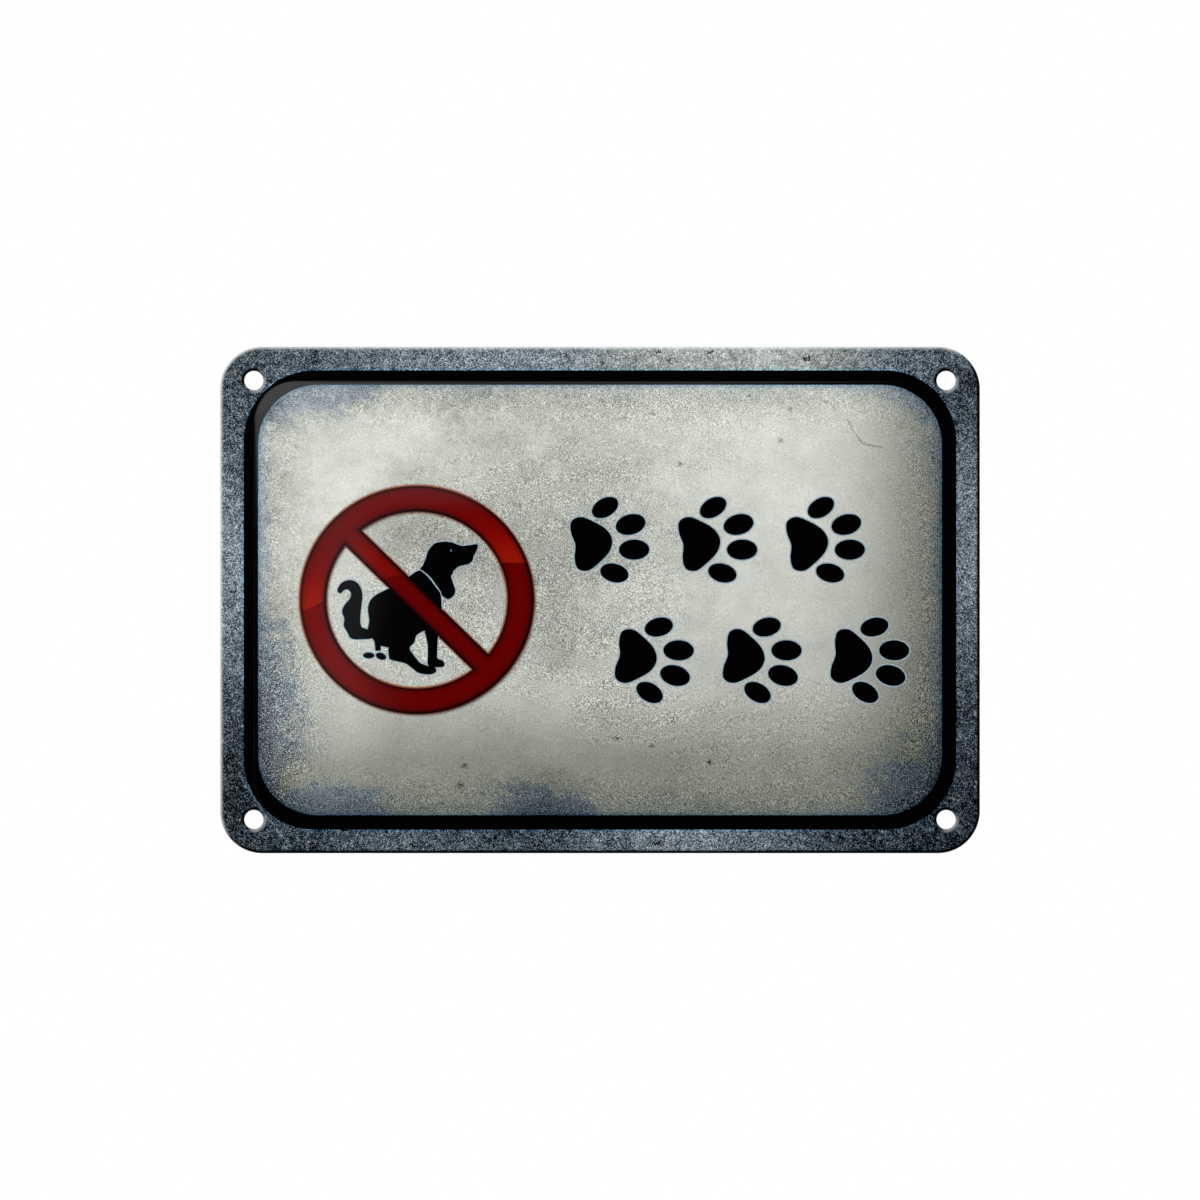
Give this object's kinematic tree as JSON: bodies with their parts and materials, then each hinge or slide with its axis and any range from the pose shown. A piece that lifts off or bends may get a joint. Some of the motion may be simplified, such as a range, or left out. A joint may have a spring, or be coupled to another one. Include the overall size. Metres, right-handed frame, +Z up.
{
  "type": "pressed tin wall sign",
  "caption": "Small landscape tin sign with a rolled edge, a flat rim with corner holes, and a raised crowned panel printed with a no dog fouling pictogram.",
  "frame": {"origin": "centre of the four fixing holes, on the wall plane that the back of the rolled edge lies on", "axes": "+Z up the sign, +X to the right as it is read, and -Y out of the wall towards the reader"},
  "size_m": [0.18, 0.005, 0.12],
  "materials": {
    "printed_sheet": "printed and clear lacquered, semi-gloss"
  },
  "bodies": {
    "root": {"sign_plate": "printed_sheet"}
  },
  "joints": []
}
